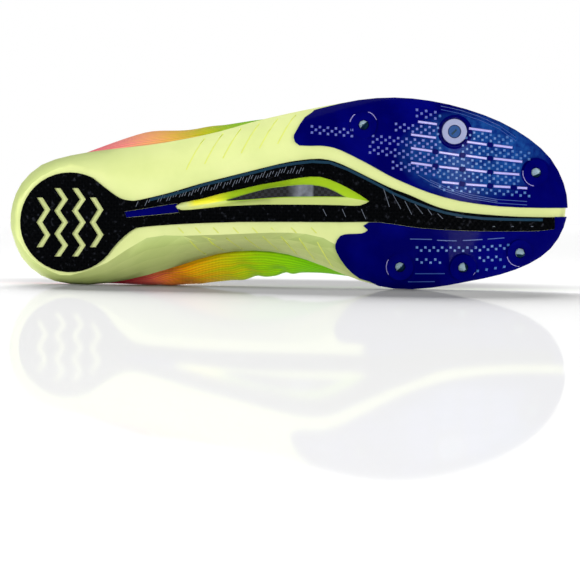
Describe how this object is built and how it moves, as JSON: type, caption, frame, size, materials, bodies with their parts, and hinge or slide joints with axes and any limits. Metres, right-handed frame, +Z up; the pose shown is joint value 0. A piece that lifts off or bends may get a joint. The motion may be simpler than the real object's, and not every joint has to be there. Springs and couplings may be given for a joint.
{
  "type": "track spike shoe",
  "caption": "Low running spike shoe for the right foot, lying on its inner side: foam sole with spike plates and rubber strip, knitted upper, tongue, laces.",
  "frame": {"origin": "middle of the lowest edge of the box of the shoe as it lies on its inner side", "axes": "+X from heel to toe, -Y out of the sole, +Z up towards the shoe's outer side"},
  "size_m": [0.2848, 0.1038, 0.0974],
  "materials": {
    "foam": "matt moulded foam, pale lime",
    "rubber": "black rubber with a fine woven texture",
    "plate": "glossy moulded plastic, deep royal blue",
    "carbon": "carbon fibre laminate",
    "steel": "plated steel",
    "knit": "fine knit, crimson at the heel through orange to green at the toe",
    "liner": "lining cloth",
    "lace": "flat woven lace"
  },
  "bodies": {
    "root": {"midsole": "foam", "rubber_strip": "rubber", "waist_inlay": "plate", "spike_plate_outer": "plate", "spike_plate_inner": "plate", "carbon_plate": "carbon", "washer": "steel", "blank_plug": "steel", "spike_1": "steel", "spike_2": "steel", "spike_3": "steel", "spike_4": "steel", "spike_5": "steel", "upper": "knit", "tongue": "knit", "insole": "liner", "lace": "lace"}
  },
  "joints": []
}
